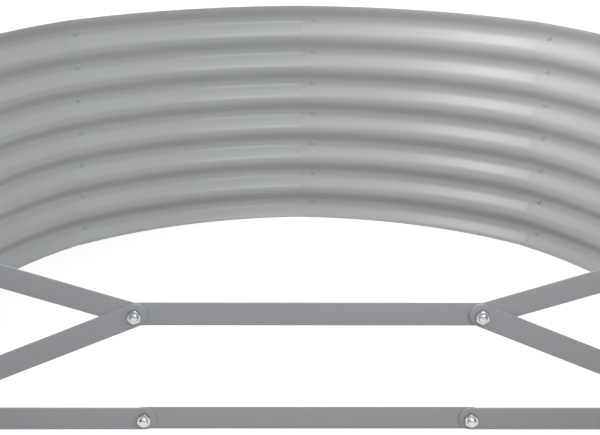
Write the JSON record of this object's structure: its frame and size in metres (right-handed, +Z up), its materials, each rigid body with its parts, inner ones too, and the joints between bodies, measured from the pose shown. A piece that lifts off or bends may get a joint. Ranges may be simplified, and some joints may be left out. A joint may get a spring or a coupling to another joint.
{
  "type": "raised garden bed",
  "caption": "Oval raised garden bed of lapped corrugated steel panels, open at the top and bottom, with a bolted flat-strip truss across the middle.",
  "frame": {"origin": "on the ground, in the middle of the bed", "axes": "+Z up, +Y along the length towards the round end seen in the picture, +X along the truss to the right"},
  "size_m": [1.0372, 1.784, 0.36],
  "materials": {
    "wall_sheet": "semi-gloss grey powder coat",
    "brace_strip": "satin grey powder coat",
    "zinc_hardware": "bright zinc plating"
  },
  "bodies": {
    "root": {"far_panel_1": "wall_sheet", "far_panel_2": "wall_sheet", "far_panel_3": "wall_sheet", "far_panel_4": "wall_sheet", "right_panel": "wall_sheet", "near_panel_1": "wall_sheet", "near_panel_2": "wall_sheet", "near_panel_3": "wall_sheet", "near_panel_4": "wall_sheet", "left_panel": "wall_sheet", "upper_link": "brace_strip", "upper_diagonal_left": "brace_strip", "upper_diagonal_right": "brace_strip", "lower_diagonal_left": "brace_strip", "lower_diagonal_right": "brace_strip", "tie_middle": "brace_strip", "tie_left": "brace_strip", "tie_right": "brace_strip", "post_left": "brace_strip", "post_right": "brace_strip", "truss_bolts": "zinc_hardware", "truss_washers": "zinc_hardware", "truss_nuts": "zinc_hardware", "wall_bolts": "zinc_hardware", "wall_nuts": "zinc_hardware", "seam_screws": "wall_sheet", "seam_nuts": "zinc_hardware"}
  },
  "joints": []
}
